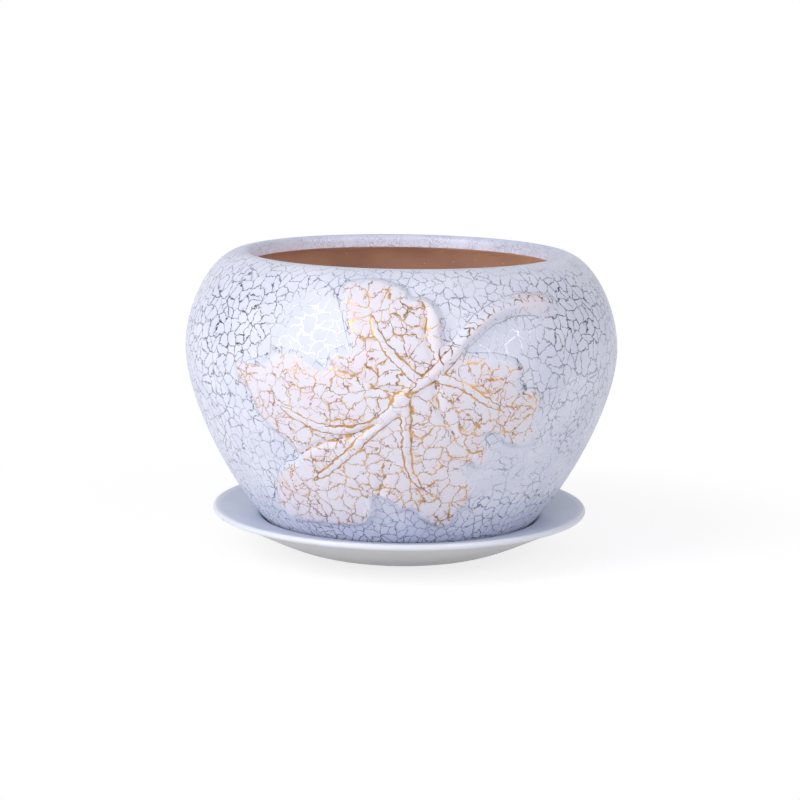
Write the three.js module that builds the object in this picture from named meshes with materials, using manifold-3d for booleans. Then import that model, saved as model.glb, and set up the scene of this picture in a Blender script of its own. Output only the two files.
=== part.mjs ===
// A ceramic orchid pot with a broad leaf moulded in relief on its wall, standing in a loose
// saucer. Sizes are millimetres and +Z is up. The origin is on the ground, at the centre of the
// saucer's foot ring, and the leaf looks along -Y.
//
// The pot is one fired piece: wall, lip, floor, foot ring and leaf are cast together, so they
// are one solid. The saucer is the other piece. Its well follows the pot's wall with a small gap.

import * as THREE from 'three';
import { mergeVertices } from 'three/addons/utils/BufferGeometryUtils.js';
import Module from 'manifold-3d';

// Pot, measured from its own foot
const potHeight = 158;
const bellyWidth = 235;
const bellyHeight = 106;
const mouthWidth = 166;
const lipRadius = 3.2;
const lipDepth = 7.6;
const wallThickness = 6.5;
const floorThickness = 7;
const footWidth = 112;
const footBand = 7;
const footRecess = 3;
const drainHoleWidth = 20;
const drainNotchWidth = 8;
const drainNotchHeight = 2;
const drainNotchCount = 3;

// Handles of the two curves that draw the wall, from foot to belly and from belly to crest
const footTurn = 20;
const belowBelly = 36.5;
const aboveBelly = 23.5;
const crestReach = 16.5;

// Leaf relief, measured square to the wall
const leafWidth = 191;
const plateRise = 2.3;
const plateCrown = 0.4;
const crownReach = 13;
const edgeRoll = 4;
const ribRise = 1;
const ribEndRise = 0.1;
const ridgeSpread = 1.3;
const stemRise = 1.7;
const stemFade = 14;
const creaseDepth = 1.1;
const curlRise = 1.4;
const tipHold = 2;

// Saucer. The flange's dip is the share of its fall that is left halfway along.
const saucerWidth = 205;
const saucerHeight = 25;
const saucerFootWidth = 86;
const saucerFootBand = 5;
const saucerFootHeight = 2;
const saucerFloor = 4.7;
const saucerRimRadius = 1.5;
const flangeDrop = 4.7;
const flangeDip = 0.45;
const undersideEase = 19.5;
const undersideLift = 6.5;
const footChamfer = 1;

// Fit of the pot in the saucer
const seatGap = 0.3;
const nestGap = 1;

// Facets: steps round the axis, and the columns and rows of the panel that holds the leaf
const segments = 72;
const leafColumns = 11;
const leafRows = 20;
const rowCrowding = 0.35;
const shoulderRows = 3;
const innerRows = 12;
const footRows = 4;
const wellRows = 6;
const undersideSteps = 8;
const flangeSteps = 4;
const rimAngles = [-70, -35, 0, 35, 70, 95];
const lipAngles = [30, 60, 90];

// Spacing of the points on the leaf's outline, on its ribs and creases, and between them
const outlineSpacing = 2.6;
const lineSpacing = 3;
const leafSpacing = 5.8;
const edgeShares = [0.4, 1];
const edgeShareSlack = 0.2;
const ridgeShares = [0, -0.55, 0.55, -1.15, 1.15];
const lineDepth = 3.2;

// How far a new point stays from the points before it
const outlineClearance = 0.9;
const edgeClearance = 1.4;
const lineClearance = 1.35;
const leafClearance = 3;
const wallClearance = 1.6;

// An edge of the leaf's net is swapped if that brings it closer to the relief by the gain, and
// split if it is long and misses the relief by more than the limit. Triangles stay rounder than
// the given ratio of height to longest side.
const swapGain = 0.02;
const splitMiss = 0.1;
const splitLength = 2.2;
const splitBudget = 260;
const refineRounds = 4;
const leastRoundness = 0.16;

// Steps of a bisection, and parts of a millimetre within which two points are the same
const bisectSteps = 40;
const weldParts = 1e4;

const bellyRadius = bellyWidth / 2;
const crestRadius = mouthWidth / 2 + lipRadius;
const segmentAngle = (2 * Math.PI) / segments;
const saucerFloorTop = saucerFootHeight + saucerFloor;
const potSeat = saucerFloorTop + seatGap;

// The wall's outer profile: x is the radius and y the height above the pot's foot
const lowerWall = new THREE.CubicBezierCurve(
  new THREE.Vector2(footWidth / 2, 0),
  new THREE.Vector2(footWidth / 2 + footTurn, 0),
  new THREE.Vector2(bellyRadius, bellyHeight - belowBelly),
  new THREE.Vector2(bellyRadius, bellyHeight),
);
const upperWall = new THREE.CubicBezierCurve(
  new THREE.Vector2(bellyRadius, bellyHeight),
  new THREE.Vector2(bellyRadius, bellyHeight + aboveBelly),
  new THREE.Vector2(crestRadius + crestReach, potHeight),
  new THREE.Vector2(crestRadius, potHeight),
);

// The leaf is drawn flat, in millimetres, on the panel that the wall unrolls to. A point's
// first number runs round the belly from the middle of the front, and its second runs up the
// wall from the belly line. The panel reaches from the foot to the crest of the lip, and the
// neck is where the inside of the wall turns up to the lip.
const panelBelow = 127.7;
const panelAbove = 65.5;
const neckHeight = 52.4;
const drawnWidth = 191;

const leafOutline = [
  // top lobe, with the rolled edge on its right
  [-35, 50], [-27, 53], [-16, 54], [-5, 51], [3, 47], [6, 43], [14, 42], [20, 37], [23, 29],
  [22, 23], [24, 19],
  // stem, out along its upper edge and back along its lower one
  [33, 27], [40, 33], [50, 38], [62, 42], [75, 43], [88, 42], [96, 38], [96, 32], [90, 29],
  [77, 30], [65, 31], [57, 29], [48, 26], [40, 20], [33, 14],
  // right lobe, ending in a curl
  [46, 13], [56, 11], [62, 8], [65, 3], [63, -3], [67, -6], [74, -7], [77, -12], [78, -24],
  [81, -34], [75, -40], [62, -38], [56, -35], [50, -30], [47, -32],
  // small lobe below it
  [52, -39], [54, -44], [52, -49], [45, -51], [39, -48], [41, -53], [46, -58], [48, -64],
  [46, -71], [47, -76], [41, -78], [39, -87],
  // bottom lobe
  [33, -91], [26, -90], [18, -86], [12, -82], [7, -77], [1, -78], [-7, -72], [-15, -69],
  // bottom left lobe
  [-15, -78], [-19, -86], [-28, -90], [-42, -91], [-58, -91], [-74, -92], [-86, -90],
  [-92, -83], [-88, -73], [-81, -61], [-73, -52], [-60, -46],
  // left lobe, with a turned tip and a small bump before the top lobe
  [-65, -38], [-74, -31], [-81, -23], [-85, -12], [-92, -7], [-95, 1], [-90, 6], [-82, 6],
  [-75, 6], [-70, 11], [-62, 13], [-53, 12], [-45, 9], [-39, 5], [-37, 12], [-32, 16],
  [-27, 14], [-30, 25], [-34, 35], [-37, 43],
];

// A ridge has a path, its half width at the path's start and end, and its rise there
const ridges = [
  {
    name: 'stem and main rib',
    path: [[92, 35], [80, 36], [66, 36], [53, 33], [42, 27], [30, 17], [19, 6], [9, -2], [0, -9]],
    halfWidth: [5.4, 3],
    rise: [stemRise, ribRise],
  },
  {
    name: 'top rib',
    path: [[9, 0], [2, 6], [-6, 14], [-12, 22], [-17, 34]],
    halfWidth: [2.8, 1.8],
    rise: [ribRise, ribEndRise],
  },
  {
    name: 'left rib',
    path: [[0, -8], [-5, -16], [-14, -23], [-27, -26.5], [-42, -26], [-55, -21], [-69, -14]],
    halfWidth: [3.2, 2],
    rise: [ribRise, ribEndRise],
  },
  {
    name: 'bottom left rib',
    path: [[0, -14], [-10, -22], [-20, -32], [-32, -44], [-54, -60]],
    halfWidth: [3.2, 2],
    rise: [ribRise, ribEndRise],
  },
  {
    name: 'bottom rib',
    path: [[2, -10], [3, -26], [4, -41], [7, -52], [11, -58], [17, -63]],
    halfWidth: [3.2, 1.6],
    rise: [ribRise, ribEndRise],
  },
  {
    name: 'right rib',
    path: [[18, 2], [26, -1], [34, -4.5], [42, -10], [54, -17]],
    halfWidth: [2.8, 1.8],
    rise: [ribRise, ribEndRise],
  },
  {
    name: 'rolled edge of the top lobe',
    path: [[9, 39], [16, 34], [18, 26], [18, 18]],
    halfWidth: [3, 3.4],
    rise: [curlRise, 0.6],
  },
  {
    name: 'curl under the right lobe',
    path: [[68, -38], [57, -33], [50, -28], [44, -27]],
    halfWidth: [3, 2.2],
    rise: [curlRise, 0.4],
  },
  {
    name: 'curl between the bottom lobes',
    path: [[-19, -80], [-17, -71], [-13, -66], [-5, -68]],
    halfWidth: [2.6, 2.4],
    rise: [curlRise, 0.4],
  },
  {
    name: 'curl under the left lobe',
    path: [[-83, -58], [-74, -50], [-62, -43], [-52, -42]],
    halfWidth: [2.8, 2.2],
    rise: [curlRise, 0.3],
  },
];

// A crease is a valley where two lobes meet, with its half width and its depth at both ends.
// Two of them run out on a lobe.
const creases = [
  {
    path: [[7, 42], [13, 34], [12, 24], [16, 10]],
    halfWidth: [2.2, 2.2],
    depth: [creaseDepth, creaseDepth],
  },
  {
    path: [[-38, 7], [-31, 4], [-21, 1], [-12, -4], [-1, -6]],
    halfWidth: [2.4, 2.4],
    depth: [creaseDepth, creaseDepth],
  },
  {
    path: [[17, 0], [18, -8], [20, -16], [26, -25], [31, -34], [40, -40]],
    halfWidth: [2.4, 2.4],
    depth: [creaseDepth, creaseDepth],
  },
  {
    path: [[-60, -45], [-44, -36], [-26, -30], [-12, -22]],
    halfWidth: [2.6, 2.6],
    depth: [creaseDepth, creaseDepth],
  },
  {
    path: [[-14, -69], [-10, -57], [-4, -44]],
    halfWidth: [2.6, 2.6],
    depth: [creaseDepth, 0],
  },
  {
    path: [[47, -31], [40, -23], [30, -14]],
    halfWidth: [2.4, 2.4],
    depth: [creaseDepth, 0],
  },
];

// Wall geometry

function wallCurve(height) {
  return height < 0
    ? { curve: lowerWall, share: 1 + height / panelBelow }
    : { curve: upperWall, share: height / panelAbove };
}

// Point of the wall's profile at a height on the panel, moved out square to the wall
function wallProfile(height, outward = 0) {
  const { curve, share } = wallCurve(height);
  const along = THREE.MathUtils.clamp(share, 0, 1);
  const point = curve.getPointAt(along);
  const tangent = curve.getTangentAt(along);
  return new THREE.Vector2(point.x + tangent.y * outward, point.y - tangent.x * outward);
}

function around(profilePoint, angle) {
  return [
    profilePoint.x * Math.sin(angle),
    -profilePoint.x * Math.cos(angle),
    profilePoint.y,
  ];
}

// Panel height at which a rising measure reaches zero
function panelHeightWhere(measure, low, high) {
  let below = low;
  let above = high;
  for (let step = 0; step < bisectSteps; step += 1) {
    const middle = (below + above) / 2;
    if (measure(middle) < 0) below = middle;
    else above = middle;
  }
  return above;
}

// Leaf relief

const leafScale = leafWidth / drawnWidth;

function smoothCurve(path, closed) {
  const points = path.map(([x, y]) => new THREE.Vector3(x * leafScale, y, 0));
  return new THREE.CatmullRomCurve3(points, closed, 'centripetal');
}

// The panel is widest at the belly, so distances round the wall shrink away from it
function wallSqueeze(height) {
  return wallProfile(height).x / bellyRadius;
}

function nearestOnPath(path, x, y, squeeze) {
  let distance = Infinity;
  let along = 0;
  for (let i = 0; i + 1 < path.length; i += 1) {
    const ax = (path[i].x - x) * squeeze;
    const ay = path[i].y - y;
    const dx = (path[i + 1].x - path[i].x) * squeeze;
    const dy = path[i + 1].y - path[i].y;
    const t = THREE.MathUtils.clamp(-(ax * dx + ay * dy) / (dx * dx + dy * dy), 0, 1);
    const reach = Math.hypot(ax + t * dx, ay + t * dy);
    if (reach < distance) {
      distance = reach;
      along = (i + t) / (path.length - 1);
    }
  }
  return { distance, along };
}

const outlineCurve = smoothCurve(leafOutline, true);
const outlineLoop = outlineCurve.getSpacedPoints(
  Math.round(outlineCurve.getLength() / outlineSpacing),
);

function insideOutline(x, y) {
  let inside = false;
  for (let i = 0; i + 1 < outlineLoop.length; i += 1) {
    const a = outlineLoop[i];
    const b = outlineLoop[i + 1];
    const crosses = a.y > y !== b.y > y;
    if (crosses && x < a.x + ((b.x - a.x) * (y - a.y)) / (b.y - a.y)) inside = !inside;
  }
  return inside;
}

// Distance in from the leaf's outline, negative outside it
function leafDepth(x, y) {
  const { distance } = nearestOnPath(outlineLoop, x, y, wallSqueeze(y));
  return insideOutline(x, y) ? distance : -distance;
}

function pathPoints(path) {
  const curve = smoothCurve(path, false);
  return curve.getSpacedPoints(Math.round(curve.getLength() / lineSpacing));
}

const ridgeLines = ridges.map((ridge) => ({ ...ridge, line: pathPoints(ridge.path) }));
const creaseLines = creases.map((crease) => ({ ...crease, line: pathPoints(crease.path) }));

function easeIn(share) {
  const t = THREE.MathUtils.clamp(share, 0, 1);
  return Math.sin((t * Math.PI) / 2);
}

function bump(share) {
  return share < 1 ? (1 + Math.cos(Math.PI * share)) / 2 : 0;
}

function reliefRise(x, y) {
  const depth = leafDepth(x, y);
  if (depth <= 0) return 0;
  const squeeze = wallSqueeze(y);
  const plate = plateRise + plateCrown * easeIn(depth / crownReach);
  const ridge = Math.max(...ridgeLines.map(({ line, halfWidth, rise }) => {
    const { distance, along } = nearestOnPath(line, x, y, squeeze);
    const reach = THREE.MathUtils.lerp(...halfWidth, along) * ridgeSpread;
    return THREE.MathUtils.lerp(...rise, along) * bump(distance / reach);
  }));
  const crease = Math.max(...creaseLines.map(({ line, halfWidth, depth: drop }) => {
    const { distance, along } = nearestOnPath(line, x, y, squeeze);
    const reach = THREE.MathUtils.lerp(...halfWidth, along) * ridgeSpread;
    return THREE.MathUtils.lerp(...drop, along) * bump(distance / reach);
  }));
  const [tipX, tipY] = ridges[0].path[0];
  const fromTip = Math.hypot((x - tipX * leafScale) * squeeze, y - tipY);
  const fade = easeIn((fromTip + tipHold) / stemFade);
  return (plate + ridge - crease) * easeIn(depth / edgeRoll) * fade;
}

// Panel points of the front of the wall: close along the leaf's edge, ribs and creases, and
// wide apart on the plain wall

const panelEdge = leafColumns * segmentAngle * bellyRadius;
const panelBottom = -100;
const panelTop = 61;

// Rows lie closer together towards the shoulder, where the wall turns fastest
function rowHeight(row) {
  const share = row / leafRows;
  return THREE.MathUtils.lerp(panelBottom, panelTop, share + rowCrowding * share * (1 - share));
}

function columnPlace(column) {
  return column * segmentAngle * bellyRadius;
}

class PointField {
  constructor() {
    this.points = [];
  }

  // Adds a point unless another lies within the clearance
  add(x, y, clearance) {
    const clear = this.points.every(([px, py]) => Math.hypot(px - x, py - y) > clearance);
    if (clear) this.points.push([x, y]);
  }

  addBorder() {
    for (let column = -leafColumns; column <= leafColumns; column += 1) {
      this.points.push([columnPlace(column), panelBottom], [columnPlace(column), panelTop]);
    }
    for (let row = 1; row < leafRows; row += 1) {
      this.points.push([-panelEdge, rowHeight(row)], [panelEdge, rowHeight(row)]);
    }
  }

  addOutline() {
    for (const point of outlineLoop.slice(1)) this.add(point.x, point.y, outlineClearance);
  }

  // A line of points inside the outline, where the edge's roll reaches the inset
  addEdge(inset) {
    outlineLoop.slice(1).forEach((point, i) => {
      const before = outlineLoop[i];
      const squeeze = wallSqueeze(point.y);
      const across = new THREE.Vector2(before.y - point.y, (point.x - before.x) * squeeze);
      across.normalize();
      for (const side of [-inset, inset]) {
        const x = (point.x + before.x) / 2 + (across.x * side) / squeeze;
        const y = (point.y + before.y) / 2 + across.y * side;
        const misplaced = Math.abs(leafDepth(x, y) - inset) > inset * edgeShareSlack;
        if (!misplaced) this.add(x, y, edgeClearance);
      }
    });
  }

  // Points across a rib or crease, at its middle and on both sides
  addLine({ line, halfWidth }) {
    for (let i = 0; i + 1 < line.length; i += 1) {
      const width = THREE.MathUtils.lerp(...halfWidth, i / (line.length - 1));
      const squeeze = wallSqueeze(line[i].y);
      const across = new THREE.Vector2(
        line[i].y - line[i + 1].y, (line[i + 1].x - line[i].x) * squeeze,
      );
      across.normalize();
      for (const share of ridgeShares) {
        const x = line[i].x + (across.x * width * share) / squeeze;
        const y = line[i].y + across.y * width * share;
        if (leafDepth(x, y) > lineDepth) this.add(x, y, lineClearance);
      }
    }
  }

  // Staggered rows of points inside the leaf
  addLeaf() {
    const rowStep = leafSpacing * Math.sqrt(3 / 4);
    const rows = Math.floor((panelTop - panelBottom) / rowStep);
    for (let row = 1; row < rows; row += 1) {
      const y = panelBottom + row * rowStep;
      const shift = (row % 2) * (leafSpacing / 2);
      for (let x = shift - panelEdge; x < panelEdge; x += leafSpacing) {
        if (leafDepth(x, y) > edgeRoll) this.add(x, y, leafClearance);
      }
    }
  }

  // The plain wall round the leaf has the rows and columns of the wall behind
  addWall() {
    for (let row = 1; row < leafRows; row += 1) {
      for (let column = 1 - leafColumns; column < leafColumns; column += 1) {
        const x = columnPlace(column);
        const y = rowHeight(row);
        if (leafDepth(x, y) < -wallClearance) this.add(x, y, wallClearance);
      }
    }
  }
}

function frontPoints() {
  const field = new PointField();
  field.addBorder();
  field.addOutline();
  for (const share of edgeShares) field.addEdge(edgeRoll * share);
  for (const line of [...ridgeLines, ...creaseLines]) field.addLine(line);
  field.addLeaf();
  field.addWall();
  return field.points;
}

// Delaunay triangles of flat points. Each point replaces the triangles whose circle holds it.
function triangulate(points) {
  const far = 1000 * panelEdge;
  const all = [...points, [-far, -far], [far, -far], [0, far]];
  const circled = (a, b, c) => {
    const [ax, ay] = all[a];
    const bx = all[b][0] - ax;
    const by = all[b][1] - ay;
    const cx = all[c][0] - ax;
    const cy = all[c][1] - ay;
    const twice = 2 * (bx * cy - by * cx);
    const x = (cy * (bx * bx + by * by) - by * (cx * cx + cy * cy)) / twice;
    const y = (bx * (cx * cx + cy * cy) - cx * (bx * bx + by * by)) / twice;
    return { corners: [a, b, c], x: ax + x, y: ay + y, reach: x * x + y * y };
  };
  let triangles = [circled(points.length, points.length + 1, points.length + 2)];
  points.forEach(([x, y], index) => {
    const rim = new Map();
    const kept = [];
    for (const triangle of triangles) {
      if ((triangle.x - x) ** 2 + (triangle.y - y) ** 2 >= triangle.reach) {
        kept.push(triangle);
        continue;
      }
      triangle.corners.forEach((from, i) => {
        const to = triangle.corners[(i + 1) % 3];
        if (!rim.delete(`${to},${from}`)) rim.set(`${from},${to}`, [from, to]);
      });
    }
    for (const [from, to] of rim.values()) kept.push(circled(from, to, index));
    triangles = kept;
  });
  return triangles
    .map((triangle) => triangle.corners)
    .filter((corners) => corners.every((corner) => corner < points.length));
}

// The leaf's points joined by triangles, whose edges are then made to follow the relief
class ReliefNet {
  constructor(points) {
    this.points = points;
    this.rises = points.map(([x, y]) => reliefRise(x, y));
    this.triangles = triangulate(points);
    this.misses = new Map();
    this.owners = new Map();
    this.triangles.forEach((_, index) => this.own(index));
  }

  own(index) {
    const corners = this.triangles[index];
    corners.forEach((from, i) => this.owners.set(`${from},${corners[(i + 1) % 3]}`, index));
  }

  place(index, corners) {
    this.triangles[index] = corners;
    this.own(index);
  }

  // Both triangles at an edge and their far corners, or nothing on the net's border
  sides(a, b) {
    const [left, right] = [this.owners.get(`${a},${b}`), this.owners.get(`${b},${a}`)];
    if (left === undefined || right === undefined) return null;
    const [c, d] = [left, right].map((index) => (
      this.triangles[index].find((corner) => corner !== a && corner !== b)
    ));
    return { left, right, c, d };
  }

  edges() {
    return [...this.owners.keys()]
      .map((key) => key.split(',').map(Number))
      .filter(([a, b]) => a < b);
  }

  middle(a, b) {
    return [0, 1].map((axis) => (this.points[a][axis] + this.points[b][axis]) / 2);
  }

  length(a, b) {
    return Math.hypot(...[0, 1].map((axis) => this.points[b][axis] - this.points[a][axis]));
  }

  // How far the relief leaves a straight edge at the edge's middle
  miss(a, b) {
    const key = a < b ? `${a},${b}` : `${b},${a}`;
    if (!this.misses.has(key)) {
      const straight = (this.rises[a] + this.rises[b]) / 2;
      this.misses.set(key, Math.abs(reliefRise(...this.middle(a, b)) - straight));
    }
    return this.misses.get(key);
  }

  // Height over longest side, negative for a triangle that is turned over
  roundness(a, b, c) {
    const [[ax, ay], [bx, by], [cx, cy]] = [a, b, c].map((corner) => this.points[corner]);
    const twiceArea = (bx - ax) * (cy - ay) - (by - ay) * (cx - ax);
    return twiceArea / Math.max(this.length(a, b), this.length(b, c), this.length(c, a)) ** 2;
  }

  swapEdges() {
    for (const [a, b] of this.edges()) {
      const sides = this.sides(a, b);
      if (!sides) continue;
      const { left, right, c, d } = sides;
      const closer = this.miss(a, b) - this.miss(c, d) > swapGain;
      const round = Math.min(this.roundness(a, d, c), this.roundness(d, b, c)) > leastRoundness;
      if (!closer || !round) continue;
      this.owners.delete(`${a},${b}`);
      this.owners.delete(`${b},${a}`);
      this.place(left, [a, d, c]);
      this.place(right, [d, b, c]);
    }
  }

  // Splits the worst edges at their middle
  splitEdges(budget) {
    const worst = this.edges()
      .filter(([a, b]) => this.miss(a, b) > splitMiss && this.length(a, b) > splitLength)
      .sort((first, second) => this.miss(...second) - this.miss(...first))
      .slice(0, budget);
    for (const [a, b] of worst) {
      const sides = this.sides(a, b);
      if (!sides) continue;
      const { left, right, c, d } = sides;
      const added = this.points.push(this.middle(a, b)) - 1;
      this.rises.push(reliefRise(...this.points[added]));
      this.owners.delete(`${a},${b}`);
      this.owners.delete(`${b},${a}`);
      this.place(left, [a, added, c]);
      this.place(right, [b, added, d]);
      this.place(this.triangles.length, [added, b, c]);
      this.place(this.triangles.length, [added, a, d]);
    }
  }

  refine() {
    for (let round = 0; round < refineRounds; round += 1) {
      this.swapEdges();
      this.splitEdges(Math.round(splitBudget / refineRounds));
    }
    this.swapEdges();
    return this;
  }
}

// A closed skin is gathered triangle by triangle, and equal points become one vertex

class Skin {
  constructor() {
    this.positions = [];
    this.corners = [];
    this.known = new Map();
  }

  vertex(point) {
    const key = point.map((value) => Math.round(value * weldParts)).join();
    if (!this.known.has(key)) {
      this.known.set(key, this.positions.length / 3);
      this.positions.push(...point);
    }
    return this.known.get(key);
  }

  triangle(a, b, c) {
    this.corners.push(this.vertex(a), this.vertex(b), this.vertex(c));
  }

  // Faces between two profile points, from one step round the axis to another
  band(lower, upper, firstStep, lastStep) {
    for (let step = firstStep; step < lastStep; step += 1) {
      const left = step * segmentAngle;
      const right = (step + 1) * segmentAngle;
      this.triangle(around(lower, left), around(lower, right), around(upper, right));
      this.triangle(around(lower, left), around(upper, right), around(upper, left));
    }
  }
}

// The pot's profile from the top row of the leaf's panel, over the lip, down the inside and
// back under the foot to the panel's bottom row
function hiddenProfile() {
  const profile = [];
  for (let row = 0; row <= shoulderRows; row += 1) {
    profile.push(wallProfile(THREE.MathUtils.lerp(panelTop, panelAbove, row / shoulderRows)));
  }
  for (const angle of lipAngles) {
    const turn = THREE.MathUtils.degToRad(angle);
    profile.push(new THREE.Vector2(
      crestRadius - lipRadius * Math.sin(turn),
      potHeight - lipRadius + lipRadius * Math.cos(turn),
    ));
  }
  profile.push(new THREE.Vector2(mouthWidth / 2, potHeight - lipDepth));
  const floorTop = footRecess + floorThickness;
  const innerBottom = panelHeightWhere(
    (height) => wallProfile(height, -wallThickness).y - floorTop, -panelBelow, 0,
  );
  for (let row = 0; row <= innerRows; row += 1) {
    const height = THREE.MathUtils.lerp(neckHeight, innerBottom, row / innerRows);
    profile.push(wallProfile(height, -wallThickness));
  }
  const holeRadius = drainHoleWidth / 2;
  const recessRadius = footWidth / 2 - footBand;
  profile.push(
    new THREE.Vector2(holeRadius, floorTop),
    new THREE.Vector2(holeRadius, footRecess),
    new THREE.Vector2(recessRadius - footChamfer, footRecess),
    new THREE.Vector2(recessRadius, 0),
  );
  for (let row = 0; row <= footRows; row += 1) {
    profile.push(wallProfile(THREE.MathUtils.lerp(-panelBelow, panelBottom, row / footRows)));
  }
  return profile;
}

function potSkin() {
  const skin = new Skin();
  const net = new ReliefNet(frontPoints()).refine();
  const placed = net.points.map(([x, y], i) => (
    around(wallProfile(y, net.rises[i]), x / bellyRadius)
  ));
  for (const [a, b, c] of net.triangles) skin.triangle(placed[a], placed[b], placed[c]);
  for (let row = 0; row < leafRows; row += 1) {
    skin.band(
      wallProfile(rowHeight(row)), wallProfile(rowHeight(row + 1)),
      leafColumns, segments - leafColumns,
    );
  }
  const profile = hiddenProfile();
  for (let i = 0; i + 1 < profile.length; i += 1) {
    skin.band(profile[i], profile[i + 1], -leafColumns, segments - leafColumns);
  }
  return skin;
}

// Booleans

const manifold = await Module();
manifold.setup();

function solidFrom(positions, corners) {
  return new manifold.Manifold(new manifold.Mesh({
    numProp: 3,
    vertProperties: new Float32Array(positions),
    triVerts: new Uint32Array(corners),
  }));
}

function solidFromGeometry(geometry) {
  geometry.deleteAttribute('normal');
  geometry.deleteAttribute('uv');
  const merged = mergeVertices(geometry);
  return solidFrom(merged.attributes.position.array, merged.index.array);
}

function geometryFrom(solid) {
  const { vertProperties, triVerts } = solid.getMesh();
  const geometry = new THREE.BufferGeometry();
  geometry.setAttribute('position', new THREE.BufferAttribute(vertProperties, 3));
  geometry.setIndex(new THREE.BufferAttribute(triVerts, 1));
  geometry.computeVertexNormals();
  return geometry;
}

// A notch lets water out from under the floor. It runs from the recess to where the wall has
// risen clear of it.
function drainNotch(index) {
  const exit = wallProfile(panelHeightWhere(
    (height) => wallProfile(height).y - drainNotchHeight, -panelBelow, 0,
  ));
  const start = footWidth / 2 - footBand - drainNotchHeight;
  const end = exit.x + drainNotchHeight;
  const box = new THREE.BoxGeometry(drainNotchWidth, end - start, 2 * drainNotchHeight);
  box.translate(0, (start + end) / 2, 0);
  box.rotateZ((index / drainNotchCount) * 2 * Math.PI);
  return solidFromGeometry(box);
}

function makePot() {
  const skin = potSkin();
  let solid = solidFrom(skin.positions, skin.corners);
  for (let index = 0; index < drainNotchCount; index += 1) {
    solid = solid.subtract(drainNotch(index));
  }
  const glaze = new THREE.MeshStandardMaterial({ color: 0xdde1f0, roughness: 0.35 });
  const pot = new THREE.Mesh(geometryFrom(solid), glaze);
  pot.name = 'pot';
  pot.position.z = potSeat;
  return pot;
}

// The saucer's well is the pot's wall moved out by the nesting gap, from the saucer's floor up
// to the inner edge of its flange
function saucerWell() {
  const wellTop = saucerHeight - flangeDrop - potSeat;
  const wellBottom = saucerFloorTop - potSeat;
  const heightAt = (level) => panelHeightWhere(
    (height) => wallProfile(height, nestGap).y - level, -panelBelow, 0,
  );
  const top = heightAt(wellTop);
  const bottom = heightAt(wellBottom);
  const points = [];
  for (let step = 0; step <= wellRows; step += 1) {
    const point = wallProfile(THREE.MathUtils.lerp(top, bottom, step / wellRows), nestGap);
    points.push(new THREE.Vector2(point.x, point.y + potSeat));
  }
  return points;
}

function makeSaucer() {
  const footRadius = saucerFootWidth / 2;
  const rimCentre = new THREE.Vector2(
    saucerWidth / 2 - saucerRimRadius, saucerHeight - saucerRimRadius,
  );
  const rimPoint = (degrees) => new THREE.Vector2(saucerRimRadius, 0)
    .rotateAround(new THREE.Vector2(), THREE.MathUtils.degToRad(degrees))
    .add(rimCentre);
  const rim = rimAngles.map(rimPoint);
  const rimStart = rim[0];
  const footEdge = new THREE.Vector2(footRadius + footChamfer, footChamfer);
  const underside = new THREE.CubicBezierCurve(
    footEdge,
    new THREE.Vector2(footRadius + undersideEase, footChamfer),
    new THREE.Vector2(rimStart.x - undersideEase, rimStart.y - undersideLift),
    rimStart,
  );
  const well = saucerWell();
  const flangeMiddle = (rimCentre.x + well[0].x) / 2;
  const flange = new THREE.QuadraticBezierCurve(
    rim.at(-1),
    new THREE.Vector2(flangeMiddle, saucerHeight - flangeDrop * (1 - flangeDip)),
    well[0],
  );
  const profile = [
    new THREE.Vector2(0, saucerFootHeight),
    new THREE.Vector2(footRadius - saucerFootBand - footChamfer, saucerFootHeight),
    new THREE.Vector2(footRadius - saucerFootBand, 0),
    new THREE.Vector2(footRadius, 0),
    ...underside.getPoints(undersideSteps),
    ...rim.slice(1, -1),
    ...flange.getPoints(flangeSteps),
    ...well.slice(1),
    new THREE.Vector2(0, saucerFloorTop),
  ];
  const glaze = new THREE.MeshStandardMaterial({ color: 0xd3d8e6, roughness: 0.45 });
  const saucer = new THREE.Mesh(new THREE.LatheGeometry(profile, segments), glaze);
  saucer.geometry.rotateX(Math.PI / 2);
  saucer.name = 'saucer';
  return saucer;
}

const orchidPot = new THREE.Group();
orchidPot.add(makePot(), makeSaucer());

export default orchidPot;
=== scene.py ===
"""A ceramic orchid pot with a moulded leaf and a crackled glaze, standing in its loose saucer.

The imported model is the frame. The pot and the saucer are modelled again here as fine meshes in
the same place, with the same profiles and the same leaf, and get procedural glaze and clay.
Scene lengths are metres. The leaf and the profiles are drawn in millimetres, as on the CAD part.
"""
import math

import bpy
import numpy as np
from mathutils import Matrix, Vector


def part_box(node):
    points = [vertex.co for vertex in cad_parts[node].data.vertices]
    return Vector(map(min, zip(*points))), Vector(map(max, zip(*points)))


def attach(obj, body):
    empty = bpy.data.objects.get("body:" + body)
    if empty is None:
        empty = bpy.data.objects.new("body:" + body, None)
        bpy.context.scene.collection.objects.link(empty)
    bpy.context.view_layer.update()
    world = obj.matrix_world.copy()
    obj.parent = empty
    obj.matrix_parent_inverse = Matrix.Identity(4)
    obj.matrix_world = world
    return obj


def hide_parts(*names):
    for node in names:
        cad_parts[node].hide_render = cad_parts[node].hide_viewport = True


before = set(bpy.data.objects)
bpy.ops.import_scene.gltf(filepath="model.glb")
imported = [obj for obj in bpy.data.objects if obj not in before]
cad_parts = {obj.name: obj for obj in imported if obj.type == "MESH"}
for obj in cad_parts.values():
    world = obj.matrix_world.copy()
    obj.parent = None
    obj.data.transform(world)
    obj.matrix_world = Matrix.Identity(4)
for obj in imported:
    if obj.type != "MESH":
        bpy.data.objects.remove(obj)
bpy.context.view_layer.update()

MM = 0.001

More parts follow.
